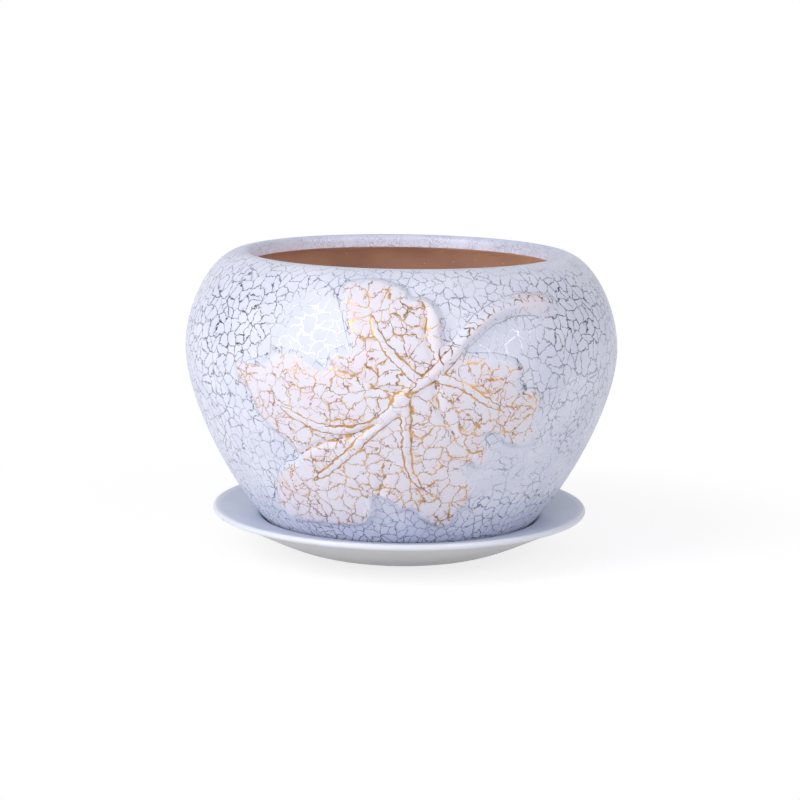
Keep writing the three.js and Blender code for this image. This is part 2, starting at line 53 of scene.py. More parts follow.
# Sizes taken from the frame, in millimetres
POT_LOW, POT_HIGH = (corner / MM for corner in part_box("pot"))
_, SAUCER_HIGH = (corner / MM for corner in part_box("saucer"))
POT_SEAT = POT_LOW.z
POT_HEIGHT = POT_HIGH.z - POT_LOW.z
SAUCER_RADIUS = SAUCER_HIGH.x
SAUCER_HEIGHT = SAUCER_HIGH.z

# Pot, measured from its own foot
BELLY_RADIUS = 117.5
BELLY_HEIGHT = 106
MOUTH_RADIUS = 83
LIP_RADIUS = 3.2
LIP_DEPTH = 7.6
CREST_RADIUS = MOUTH_RADIUS + LIP_RADIUS
WALL = 6.5
FLOOR = 7
FOOT_RADIUS = 56
FOOT_BAND = 7
FOOT_RECESS = 3
DRAIN_RADIUS = 10
NOTCH_WIDTH = 8
NOTCH_HEIGHT = 2
NOTCH_COUNT = 3
NOTCH_MIDDLES = [np.pi + turn * 2 * np.pi / NOTCH_COUNT for turn in range(NOTCH_COUNT)]
NOTCH_HALF_TURN = NOTCH_WIDTH / 2 / FOOT_RADIUS
NOTCH_SIDE_STEP = 1.08
TINY_TURN = 0.0001
LIP_CORNER = 1.2
LIP_BLEND = 0.8
FLOOR_ROUND = 5
GLAZE_LINE = 3
LIP_FADE = (-4, -1)

# Roundings of the pot's hidden corners, as steps outward and upward from each corner
HOLE_MOUTH = [(14, 0), (1.2, 0), (0.4, -0.4), (0, -1.2)]
HOLE_FOOT = [(0, 0.8), (0.8, 0)]
HOLE_LAND = 12
RECESS_TOP = [(-6, 0), (-1.6, 0), (-0.9, -0.5)]
RECESS_FOOT = [(-0.2, 0.5), (0.4, 0)]

# Handles of the wall's two curves, and the wall's length below and above the belly line
FOOT_TURN = 20
BELOW_BELLY = 36.5
ABOVE_BELLY = 23.5
CREST_REACH = 16.5
PANEL_BELOW = 127.7
PANEL_ABOVE = 65.5
NECK_HEIGHT = 52.4

# Leaf relief
PLATE_RISE = 2.3
PLATE_CROWN = 0.4
CROWN_REACH = 13
EDGE_ROLL = 4
EDGE_FILLET = 0.12
RIB_RISE = 1.0
RIB_RISES = (RIB_RISE, 0.1)
RIDGE_SPREAD = 1.3
STEM_RISE = 1.7
STEM_FADE = 14
STEM_LENGTH = 74
RIB_POINT = 0.16
RIB_INSET = 0.4
CREASE_DEPTH = 1.1
EVEN_DEPTH = (CREASE_DEPTH, CREASE_DEPTH)
CURL_RISE = 1.4
TIP_HOLD = 2

# Saucer
SAUCER_FOOT_RADIUS = 43
SAUCER_FOOT_BAND = 5
SAUCER_FOOT_HEIGHT = 2
SAUCER_RIM = 1.5
FLANGE_DROP = 4.7
FLANGE_DIP = 0.45
UNDERSIDE_EASE = 19.5
FOOT_CHAMFER = 1
NEST_GAP = 1
SEAT_GAP = 0.3
SAUCER_FLOOR_TOP = POT_SEAT - SEAT_GAP
SAUCER_RIM_GLAZE_AND_HIGHLIGHT_FADE = 1.5
SAUCER_FOOT_TOP = [(-1.4, 0), (-0.8, -0.4)]
SAUCER_FOOT_INSIDE = [(-0.1, 0.3), (0.5, 0)]
SAUCER_FOOT_OUTSIDE = [(-0.6, 0), (0.2, 0.25)]
SAUCER_RINGS = (4, 20, 40)
WELL_FOOT_UP = (0.4, 0.5)
WELL_FOOT_IN = (3, 0)

# Distances from the leaf's lines stop here, and what a point nowhere near the leaf measures
FAR = 20.0
AWAY_FROM_LEAF = {
    "rise": 0.0, "leaf_depth": -FAR, "rib_side": FAR, "crease_near": FAR,
    "stem_side": FAR, "stem_along": 0.0,
}

# Steps and rows of the fine meshes
LEAF_STEP = 1.0
LEAF_REACH = 99
LEAF_TOP = 58
WALL_STEP = 3.75
FOOT_ROWS = 16
SHOULDER_ROWS = 7
INNER_ROWS = 34
WELL_ROWS = 16
SEARCH_ROWS = 4000
UNDERSIDE_STEP = 2.5
FLANGE_STEP = 1.6
SAUCER_SEGMENTS = 240
SHARP_ANGLE = 50

# Places in the bake's square, which is 1 by 1: the front half of the glazed wall, the back half
# at a smaller scale, the inside as a strip, and the floor and the underside as discs
FRONT_WIDTH = 0.92
FRONT_PLACE = (0.5, 0.01)
BACK_SCALE = 0.72
BACK_PLACE = (0.36, 0.54)
STRIP_PLACE = (0.02, 0.925)
STRIP_SIZE = (0.96, 0.065)
DISC_SCALE = 0.15 / 130
FLOOR_PLACE = (0.86, 0.63)
UNDERSIDE_PLACE = (0.86, 0.81)
DISC_HOLE = 4


# The leaf, drawn flat on the unrolled wall. A point's first number runs round the belly from
# the middle of the front, and its second runs up the wall from the belly line.

LEAF_OUTLINE = [
    # top lobe, with the rolled edge on its right
    (-35, 50), (-27, 53), (-16, 54), (-5, 51), (3, 47), (6, 43), (14, 42), (20, 37), (23, 29),
    (22, 23), (24, 19),
    # stem, out along its upper edge and back along its lower one
    (33, 27), (40, 33), (50, 38), (62, 42), (75, 43), (88, 42), (96, 38), (96, 32), (90, 29),
    (77, 30), (65, 31), (57, 29), (48, 26), (40, 20), (33, 14),
    # right lobe, ending in a curl
    (46, 13), (56, 11), (62, 8), (65, 3), (63, -3), (67, -6), (74, -7), (77, -12), (78, -24),
    (81, -34), (75, -40), (62, -38), (56, -35), (50, -30), (47, -32),
    # small lobe below it
    (52, -39), (54, -44), (52, -49), (45, -51), (39, -48), (41, -53), (46, -58), (48, -64),
    (46, -71), (47, -76), (41, -78), (39, -87),
    # bottom lobe
    (33, -91), (26, -90), (18, -86), (12, -82), (7, -77), (1, -78), (-7, -72), (-15, -69),
    # bottom left lobe
    (-15, -78), (-19, -86), (-28, -90), (-42, -91), (-58, -91), (-74, -92), (-86, -90),
    (-92, -83), (-88, -73), (-81, -61), (-73, -52), (-60, -46),
    # left lobe, with a turned tip and a small bump before the top lobe
    (-65, -38), (-74, -31), (-81, -23), (-85, -12), (-92, -7), (-95, 1), (-90, 6), (-82, 6),
    (-75, 6), (-70, 11), (-62, 13), (-53, 12), (-45, 9), (-39, 5), (-37, 12), (-32, 16),
    (-27, 14), (-30, 25), (-34, 35), (-37, 43),
]

# Each rib has a path, its half width at both ends and its rise at both ends
RIBS = [
    # stem and main rib
    ([(92, 35), (80, 36), (66, 36), (53, 33), (42, 27), (30, 17), (19, 6), (9, -2), (0, -9)],
     (5.4, 3), (STEM_RISE, RIB_RISE)),
    # top rib
    ([(9, 0), (2, 6), (-6, 14), (-12, 22), (-17, 34)], (2.8, 1.8), RIB_RISES),
    # left rib
    ([(0, -8), (-5, -16), (-14, -23), (-27, -26.5), (-42, -26), (-55, -21), (-69, -14)],
     (3.2, 2), RIB_RISES),
    # bottom left rib
    ([(0, -14), (-10, -22), (-20, -32), (-32, -44), (-54, -60)], (3.2, 2), RIB_RISES),
    # bottom rib
    ([(2, -10), (3, -26), (4, -41), (7, -52), (11, -58), (17, -63)], (3.2, 1.6), RIB_RISES),
    # right rib
    ([(18, 2), (26, -1), (34, -4.5), (42, -10), (54, -17)], (2.8, 1.8), RIB_RISES),
]

# The turned edges of the lobes
CURLS = [
    # rolled edge of the top lobe
    ([(9, 39), (16, 34), (18, 26), (18, 18)], (3, 3.4), (CURL_RISE, 0.6)),
    # under the right lobe
    ([(68, -38), (57, -33), (50, -28), (44, -27)], (3, 2.2), (CURL_RISE, 0.4)),
    # between the bottom lobes
    ([(-19, -80), (-17, -71), (-13, -66), (-5, -68)], (2.6, 2.4), (CURL_RISE, 0.4)),
    # under the left lobe
    ([(-83, -58), (-74, -50), (-62, -43), (-52, -42)], (2.8, 2.2), (CURL_RISE, 0.3)),
]

# Valleys where two lobes meet, with their half width and their depth at both ends
CREASES = [
    ([(7, 42), (13, 34), (12, 24), (16, 10)], 2.2, EVEN_DEPTH),
    ([(-38, 7), (-31, 4), (-21, 1), (-12, -4), (-1, -6)], 2.4, EVEN_DEPTH),
    ([(17, 0), (18, -8), (20, -16), (26, -25), (31, -34), (40, -40)], 2.4, EVEN_DEPTH),
    ([(-60, -45), (-44, -36), (-26, -30), (-12, -22)], 2.6, EVEN_DEPTH),
    ([(-14, -69), (-10, -57), (-4, -44)], 2.6, (CREASE_DEPTH, 0)),
    ([(47, -31), (40, -23), (30, -14)], 2.4, (CREASE_DEPTH, 0)),
]


# Curves

def bezier(points, count=400):
    """Points along a cubic or quadratic curve."""
    t = np.linspace(0, 1, count)[:, None]
    points = [np.array(point, float) for point in points]
    while len(points) > 1:
        points = [a + (b - a) * t for a, b in zip(points, points[1:])]
    return points[0]


def run_of(points):
    """How far along a line each of its points lies."""
    return np.concatenate([[0], np.cumsum(np.hypot(*np.diff(points, axis=0).T))])


def spaced(points, step):
    """The same line with points about step apart."""
    lengths = run_of(points)
    places = np.linspace(0, lengths[-1], max(2, round(lengths[-1] / step) + 1))
    return np.stack([np.interp(places, lengths, column) for column in points.T], 1)


def smooth_line(path, closed, step=1.0):
    """A centripetal curve through the points of a path, as evenly spaced points."""
    path = np.array(path, float)
    if closed:
        ring = np.concatenate([path[-1:], path, path[:2]])
    else:
        ring = np.concatenate([[2 * path[0] - path[1]], path, [2 * path[-1] - path[-2]]])
    pieces = []
    t = np.linspace(0, 1, 16, endpoint=False)[:, None]
    for a, b, c, d in zip(ring, ring[1:], ring[2:], ring[3:]):
        ab, bc, cd = (np.hypot(*(q - p)) ** 0.5 for p, q in ((a, b), (b, c), (c, d)))
        start = ((b - a) / ab - (c - a) / (ab + bc) + (c - b) / bc) * bc
        end = ((c - b) / bc - (d - b) / (bc + cd) + (d - c) / cd) * bc
        pieces.append(
            b + start * t + (3 * (c - b) - 2 * start - end) * t**2
            + (2 * (b - c) + start + end) * t**3
        )
    pieces.append(ring[-2:-1])
    return spaced(np.concatenate(pieces), step)


class Wall:
    """The pot's outer profile, by the height on its unrolled panel."""

    def __init__(self):
        lower = bezier([
            (FOOT_RADIUS, 0), (FOOT_RADIUS + FOOT_TURN, 0),
            (BELLY_RADIUS, BELLY_HEIGHT - BELOW_BELLY), (BELLY_RADIUS, BELLY_HEIGHT),
        ])
        upper = bezier([
            (BELLY_RADIUS, BELLY_HEIGHT), (BELLY_RADIUS, BELLY_HEIGHT + ABOVE_BELLY),
            (CREST_RADIUS + CREST_REACH, POT_HEIGHT), (CREST_RADIUS, POT_HEIGHT),
        ])
        places = []
        for curve, low, high in ((lower, -PANEL_BELOW, 0), (upper, 0, PANEL_ABOVE)):
            run = run_of(curve)
            places.append(low + (high - low) * run / run[-1])
        self.heights = np.concatenate([places[0], places[1][1:]])
        self.profile = np.concatenate([lower, upper[1:]])
        ahead = np.gradient(self.profile, axis=0)
        ahead /= np.hypot(*ahead.T)[:, None]
        self.outward = np.stack([ahead[:, 1], -ahead[:, 0]], 1)

    def at(self, height, outward=0.0):
        """Radius and level of the wall at a height, moved out square to it."""
        height = np.asarray(height, float)
        columns = [
            np.interp(height, self.heights, self.profile[:, axis])
            + np.asarray(outward) * np.interp(height, self.heights, self.outward[:, axis])
            for axis in (0, 1)
        ]
        return np.stack(columns, -1)

    def squeeze(self, height):
        """Width of the panel at a height, as a share of its width at the belly."""
        return self.at(height)[..., 0] / BELLY_RADIUS

    def height_where(self, level, outward=0.0):
        """Panel height below the belly where the moved wall reaches a level."""
        heights = np.linspace(-PANEL_BELOW, 0, SEARCH_ROWS)
        return float(np.interp(level, self.at(heights, outward)[:, 1], heights))


wall = Wall()


def nearest(line, x, y, squeeze, signed=False):
    """Distance from each point to a line, and how far along the line that is."""
    best = np.full(x.shape, np.inf)
    along = np.zeros(x.shape)
    turn = np.ones(x.shape)
    for i, (a, b) in enumerate(zip(line, line[1:])):
        ax = (a[0] - x) * squeeze
        ay = a[1] - y
        dx = (b[0] - a[0]) * squeeze
        dy = b[1] - a[1]
        t = np.clip(-(ax * dx + ay * dy) / (dx * dx + dy * dy), 0, 1)
        reach = np.hypot(ax + t * dx, ay + t * dy)
        closer = reach < best
        best[closer] = reach[closer]
        along[closer] = ((i + t) / (len(line) - 1))[closer]
        turn[closer] = np.sign(ax * dy - ay * dx)[closer]
    return best * turn if signed else best, along


def inside(line, x, y):
    """Whether each point lies inside a closed line."""
    result = np.zeros(x.shape, bool)
    for a, b in zip(line, line[1:]):
        if a[1] == b[1]:
            continue
        crosses = (a[1] > y) != (b[1] > y)
        result ^= crosses & (x < a[0] + (b[0] - a[0]) * (y - a[1]) / (b[1] - a[1]))
    return result


def from_to(ends, share):
    return ends[0] + (ends[1] - ends[0]) * share


def bump(share):
    return np.where(share < 1, (1 + np.cos(np.pi * np.minimum(share, 1))) / 2, 0)


def ease_in(share):
    return np.sin(np.clip(share, 0, 1) * np.pi / 2)


def soft_foot(share):
    """Like the share itself, but it starts from nothing along a small fillet."""
    return (share + np.sqrt(share**2 + EDGE_FILLET**2)) / 2


class Leaf:
    """The leaf's relief and the distances that its glaze is painted by."""

    def __init__(self):
        self.outline = smooth_line(LEAF_OUTLINE, True)
        self.ribs, self.curls, self.creases = (
            [(smooth_line(path, False), *rest) for path, *rest in lines]
            for lines in (RIBS, CURLS, CREASES))

    def measure(self, x, y):
        """The relief's rise, and the distances from its lines, at points of the panel."""
        squeeze = wall.squeeze(y)
        depth, _ = nearest(self.outline, x, y, squeeze)
        depth = np.where(inside(self.outline, x, y), depth, -depth)
        ridge = np.zeros(x.shape)
        rib_side = np.full(x.shape, FAR)
        for lines in (self.ribs, self.curls):
            for line, half_width, rise in lines:
                distance, along = nearest(line, x, y, squeeze)
                half = from_to(half_width, along)
                height = from_to(rise, along)
                ridge = np.maximum(ridge, height * bump(distance / (half * RIDGE_SPREAD)))
                if lines is self.ribs:
                    pointed = half * np.clip((1 - along) / RIB_POINT, 0, 1)
                    rib_side = np.minimum(rib_side, distance - pointed + RIB_INSET)
        valley = np.zeros(x.shape)
        crease_near = np.full(x.shape, FAR)
        for line, half, drop in self.creases:
            distance, along = nearest(line, x, y, squeeze)
            deep = from_to(drop, along)
            valley = np.maximum(valley, deep * bump(distance / (half * RIDGE_SPREAD)))
            crease_near = np.minimum(crease_near, distance)
        tip_x, tip_y = RIBS[0][0][0]
        from_tip = np.hypot((x - tip_x) * squeeze, y - tip_y)
        fade = ease_in((from_tip + TIP_HOLD) / STEM_FADE)
        plate = PLATE_RISE + PLATE_CROWN * ease_in(depth / CROWN_REACH)
        rise = (plate + ridge - valley) * ease_in(soft_foot(depth / EDGE_ROLL)) * fade
        stem = self.ribs[0][0][:STEM_LENGTH + 1]
        stem_side, stem_along = nearest(stem, x, y, squeeze, signed=True)
        return {
            "rise": np.where(depth > -EDGE_ROLL, rise, 0),
            "leaf_depth": np.clip(depth, -FAR, FAR),
            "rib_side": np.clip(rib_side, -FAR, FAR),
            "crease_near": np.clip(crease_near, 0, FAR),
            "stem_side": np.clip(stem_side, -FAR, FAR),
            "stem_along": stem_along * STEM_LENGTH,
        }


leaf = Leaf()


# Meshes

def arc(centre, radius, first, last, count):
    """Points of a profile's rounding, by angles in degrees from straight out."""
    turn = np.radians(np.linspace(first, last, count))
    return np.stack([centre[0] + radius * np.cos(turn), centre[1] + radius * np.sin(turn)], 1)


def add_object(name, data):
    added = bpy.data.objects.new(name, data)
    bpy.context.scene.collection.objects.link(added)
    return added


def new_mesh_object(name, vertices, faces):
    mesh = bpy.data.meshes.new(name)
    mesh.from_pydata(vertices, [], faces)
    mesh.validate()
    mesh.update()
    return add_object(name, mesh)


def add_attribute(piece, name, values):
    layer = piece.data.attributes.new(name, "FLOAT", "POINT")
    layer.data.foreach_set("value", np.asarray(values, np.float32).ravel())


def grid_faces(rows, columns, close_rows):
    """Quads of a grid whose columns close on themselves, and the row of each."""
    row = np.arange(rows if close_rows else rows - 1)[:, None]
    column = np.arange(columns)[None, :]
    row, column = (a.ravel() for a in np.broadcast_arrays(row, column))
    above, right = (row + 1) % rows, (column + 1) % columns
    corners = np.stack([
        row * columns + column, row * columns + right,
        above * columns + right, above * columns + column,
    ], 1)
    return corners, row


def pot_columns():
    """Angles round the pot: close on the leaf's side, and with an edge at each notch's side."""
    front = np.arange(-LEAF_REACH, LEAF_REACH + LEAF_STEP / 2, LEAF_STEP) / BELLY_RADIUS
    side = np.arange(LEAF_REACH + WALL_STEP, np.pi * BELLY_RADIUS, WALL_STEP) / BELLY_RADIUS
    steps = NOTCH_HALF_TURN * np.array([-1, -NOTCH_SIDE_STEP, 1, NOTCH_SIDE_STEP])
    edges = np.concatenate([middle + steps for middle in NOTCH_MIDDLES])
    edges = (edges + np.pi) % (2 * np.pi) - np.pi
    plain = np.concatenate([front, side, -side])
    gap = np.abs(plain[:, None] - edges[None, :]).min(1)
    return np.sort(np.concatenate([plain[gap > 0.5 / BELLY_RADIUS], edges]))


def pot_hidden_profile():
    """The lip, the inside, the floor, the hole and the foot, down to the wall's own foot."""
    lip_centre = (CREST_RADIUS, POT_HEIGHT - LIP_RADIUS)
    lip_bottom = POT_HEIGHT - LIP_DEPTH
    lip = arc(lip_centre, LIP_RADIUS, 100, 180, 9)
    band = np.linspace((MOUTH_RADIUS, POT_HEIGHT - LIP_RADIUS - LIP_BLEND),
                       (MOUTH_RADIUS, lip_bottom + LIP_CORNER), 4)
    under = arc((MOUTH_RADIUS + LIP_CORNER, lip_bottom + LIP_CORNER), LIP_CORNER, 190, 262, 5)
    floor_top = FOOT_RECESS + FLOOR
    low = wall.height_where(floor_top + FLOOR_ROUND, -WALL)
    inner = wall.at(np.linspace(NECK_HEIGHT, low, INNER_ROWS), -WALL)
    corner = wall.at(wall.height_where(floor_top, -WALL), -WALL)
    turn = bezier([inner[-1], corner, corner - (FLOOR_ROUND, 0)], 6)[1:]
    hole = np.concatenate([
        np.add(HOLE_MOUTH, (DRAIN_RADIUS, floor_top)),
        np.add(HOLE_FOOT, (DRAIN_RADIUS, FOOT_RECESS)),
    ])
    recess = FOOT_RADIUS - FOOT_BAND
    under_foot = np.concatenate([
        [(DRAIN_RADIUS + HOLE_LAND, FOOT_RECESS)],
        np.add(RECESS_TOP, (recess, FOOT_RECESS)), np.add(RECESS_FOOT, (recess, 0)),
    ])
    return [lip, band, under, inner, turn, hole, under_foot]


def make_pot():
    angles = pot_columns()
    reach = LEAF_REACH - 1
    heights = np.concatenate([
        np.linspace(-PANEL_BELOW, -reach, FOOT_ROWS)[:-1],
        np.arange(-reach, LEAF_TOP + LEAF_STEP / 2, LEAF_STEP),
        np.linspace(LEAF_TOP, PANEL_ABOVE, SHOULDER_ROWS)[1:],
    ])
    x, y = np.meshgrid(angles * BELLY_RADIUS, heights)
    fields = {name: np.full(x.shape, away) for name, away in AWAY_FROM_LEAF.items()}
    near = (np.abs(x) < LEAF_REACH + 4) & (y > -reach - 1) & (y < LEAF_TOP)
    for name, values in leaf.measure(x[near], y[near]).items():
        fields[name][near] = values
    outer = wall.at(y, fields["rise"])
    hidden = pot_hidden_profile()
    ends = len(heights) + np.cumsum([len(part) for part in hidden])
    _, band_end, _, _, turn_end, hole_end, _ = ends
    hidden = np.concatenate(hidden)
    columns = len(angles)
    radius = np.concatenate([outer[..., 0], np.tile(hidden[:, :1], columns)])
    level = np.concatenate([outer[..., 1], np.tile(hidden[:, 1:], columns)])
    cut_notches(radius, level, angles)
    vertices = np.stack([
        radius * np.sin(angles), -radius * np.cos(angles), level + POT_SEAT,
    ], -1).reshape(-1, 3) * MM
    faces, row = grid_faces(len(radius), columns, True)
    piece = new_mesh_object("glazed_pot", vertices, faces.tolist())
    for name, values in fields.items():
        if name != "rise":
            tail = np.full((len(hidden), columns), AWAY_FROM_LEAF[name])
            add_attribute(piece, name, np.concatenate([values, tail]))
    run = run_of(np.concatenate([wall.at(heights), hidden]))
    past_crest = run - run[len(heights) - 1]
    add_attribute(piece, "lip", np.repeat(np.interp(past_crest, LIP_FADE, (0, 1)), columns))
    # The glaze ends inside the lip and just above the foot
    glazed_from = int(np.searchsorted(heights, wall.height_where(GLAZE_LINE)))
    glazed_to = band_end + 1
    clay = (row < glazed_from) | (row >= glazed_to)
    piece.data.materials.append(CrackleGlaze().finish())
    piece.data.materials.append(bare_clay())
    piece.data.polygons.foreach_set("material_index", clay.astype(np.int32))
    unwrap_pot(piece, angles, run, glazed_to, turn_end - 1, hole_end - 1)
    finish_shading(piece)
    return piece


def cut_notches(radius, level, angles):
    """Lifts the foot's underside over each drain notch."""
    half = NOTCH_HALF_TURN + TINY_TURN
    recess = FOOT_RADIUS - FOOT_BAND - 1
    for middle in NOTCH_MIDDLES:
        off = (angles - middle + np.pi) % (2 * np.pi) - np.pi
        cut = (np.abs(off) <= half)[None, :] & (radius > recess) & (level < NOTCH_HEIGHT)
        level[cut] = NOTCH_HEIGHT


def unwrap_pot(piece, angles, run, glazed_to, floor_from, hole_end):
    """Lays the pot's faces out for the bake, and keeps the unrolled wall for the crackle."""
    columns = len(angles)
    faces = np.zeros(len(piece.data.polygons) * 4, np.int32)
    piece.data.polygons.foreach_get("vertices", faces)
    faces = faces.reshape(-1, 4)
    row, column = np.divmod(faces, columns)
    face_row = row[:, :1]
    wraps = (column.max(1) == columns - 1) & (column.min(1) == 0)
    angle = angles[column]
    angle[wraps] %= 2 * np.pi
    middle = angle.mean(1, keepdims=True)
    # The last row of faces closes on the wall's first row, across the foot ring
    foot_ring = FOOT_BAND - RECESS_FOOT[-1][0]
    along = np.where((row == 0) & (face_row == len(run) - 1), run[-1] + foot_ring, run[row])

    shell, inner, floor, foot = (
        ((face_row >= first) & (face_row < last))[:, 0] for first, last in (
            (0, glazed_to), (glazed_to, floor_from), (floor_from, hole_end), (hole_end, len(run)))
    )
    front = shell & (np.abs(middle) <= np.pi / 2)[:, 0]
    back = shell & ~front
    scale = FRONT_WIDTH / (np.pi * BELLY_RADIUS)
    u, v = np.zeros((2, *row.shape))
    u[front] = FRONT_PLACE[0] + angle[front] * BELLY_RADIUS * scale
    v[front] = FRONT_PLACE[1] + along[front] * scale
    turned = angle[back] % (2 * np.pi) - np.pi
    u[back] = BACK_PLACE[0] + turned * BELLY_RADIUS * scale * BACK_SCALE
    v[back] = BACK_PLACE[1] + along[back] * scale * BACK_SCALE
    down = (along[inner] - run[glazed_to]) / (run[floor_from] - run[glazed_to])
    u[inner] = STRIP_PLACE[0] + (angle[inner] + np.pi) / (2 * np.pi) * STRIP_SIZE[0]
    v[inner] = STRIP_PLACE[1] + down * STRIP_SIZE[1]
    reach = (np.abs(along - run[hole_end]) + DISC_HOLE) * DISC_SCALE
    for chosen, centre in ((floor, FLOOR_PLACE), (foot, UNDERSIDE_PLACE)):
        u[chosen] = centre[0] + reach[chosen] * np.sin(angle[chosen])
        v[chosen] = centre[1] + reach[chosen] * np.cos(angle[chosen])
    layer = piece.data.uv_layers.new(name="OFBake")
    layer.uv.foreach_set("vector", np.stack([u, v], -1).astype(np.float32).ravel())

    # The unrolled wall twice over, once cut open at the back and once at the front
    from_back = np.where(middle < 0, angle + np.pi, angle - np.pi)
    unrolled = np.stack([angle * BELLY_RADIUS, along, from_back * BELLY_RADIUS], -1)
    spread = piece.data.attributes.new("unrolled", "FLOAT_VECTOR", "CORNER")
    spread.data.foreach_set("vector", unrolled.astype(np.float32).ravel())


def finish_shading(piece):
    piece.data.shade_smooth()
    piece.data.set_sharp_from_angle(angle=math.radians(SHARP_ANGLE))


def saucer_profile():
    """From the middle of the recess out under the rim and back to the middle of the floor.

    Also gives the rim's centre, and how many of the points make up the underside.
    """
    foot = SAUCER_FOOT_RADIUS
    inner_foot = foot - SAUCER_FOOT_BAND
    rim = np.array([SAUCER_RADIUS - SAUCER_RIM, SAUCER_HEIGHT - SAUCER_RIM])
    rim_arc = arc(rim, SAUCER_RIM, -70, 95, 15)
    foot_ring = np.concatenate([
        [(radius, SAUCER_FOOT_HEIGHT) for radius in SAUCER_RINGS[:-1]],
        np.add(SAUCER_FOOT_TOP, (inner_foot, SAUCER_FOOT_HEIGHT)),
        np.add(SAUCER_FOOT_INSIDE, (inner_foot, 0)), np.add(SAUCER_FOOT_OUTSIDE, (foot, 0)),
    ])
    underside = spaced(bezier([
        (foot + FOOT_CHAMFER, FOOT_CHAMFER), (foot + UNDERSIDE_EASE, FOOT_CHAMFER),
        (rim_arc[0][0] - UNDERSIDE_EASE, rim_arc[0][1] - UNDERSIDE_EASE / 3), rim_arc[0],
    ]), UNDERSIDE_STEP)
    well_top = wall.height_where(SAUCER_HEIGHT - FLANGE_DROP - POT_SEAT, NEST_GAP)
    well_low = wall.height_where(SAUCER_FLOOR_TOP - POT_SEAT, NEST_GAP)
    well = wall.at(np.linspace(well_top, well_low, WELL_ROWS), NEST_GAP) + (0, POT_SEAT)
    middle = (rim[0] + well[0][0]) / 2
    flange = spaced(bezier([
        rim_arc[-1], (middle, SAUCER_HEIGHT - FLANGE_DROP * (1 - FLANGE_DIP)), well[0],
    ]), FLANGE_STEP)
    brow = bezier([flange[-2], flange[-1], well[1]], 5)
    profile = np.concatenate([
        foot_ring, underside, rim_arc[1:], flange[1:-2], brow, well[2:-1],
        bezier([well[-1] + WELL_FOOT_UP, well[-1], well[-1] - WELL_FOOT_IN], 5)[1:],
        [(radius, SAUCER_FLOOR_TOP) for radius in SAUCER_RINGS[::-1]],
    ])
    return profile, rim, len(foot_ring) + len(underside)


def make_saucer():
    profile, rim, under_rows = saucer_profile()
    rows = len(profile)
    angles = np.arange(SAUCER_SEGMENTS) * 2 * np.pi / SAUCER_SEGMENTS
    radius, level = profile[:, :1], profile[:, 1:]
    vertices = np.stack([
        radius * np.sin(angles), -radius * np.cos(angles), np.tile(level, SAUCER_SEGMENTS),
    ], -1).reshape(-1, 3) * MM
    faces, _ = grid_faces(rows, SAUCER_SEGMENTS, False)
    faces = faces.tolist()
    # Both ends of the profile close on a point in the middle
    under, above = len(vertices), len(vertices) + 1
    vertices = np.concatenate([vertices, [
        (0, 0, SAUCER_FOOT_HEIGHT * MM), (0, 0, SAUCER_FLOOR_TOP * MM),
    ]])
    last = (rows - 1) * SAUCER_SEGMENTS
    for column in range(SAUCER_SEGMENTS):
        right = (column + 1) % SAUCER_SEGMENTS
        faces.append([under, right, column])
        faces.append([above, last + column, last + right])
    piece = new_mesh_object("glazed_saucer", vertices, faces)
    off_rim = np.hypot(*(profile - rim).T) - SAUCER_RIM
    # The band round the rim is painted paler: partly its thinner glaze, partly a painted
    # highlight
    for name, values, ends in (
        ("edge", np.clip(1 - off_rim / SAUCER_RIM_GLAZE_AND_HIGHLIGHT_FADE, 0, 1), (0, 0)),
        ("underside", np.arange(rows) < under_rows, (1, 0)),
    ):
        add_attribute(piece, name, np.append(np.repeat(values, SAUCER_SEGMENTS), ends))
    piece.data.materials.append(saucer_glaze())
    finish_shading(piece)
    return piece


# Materials

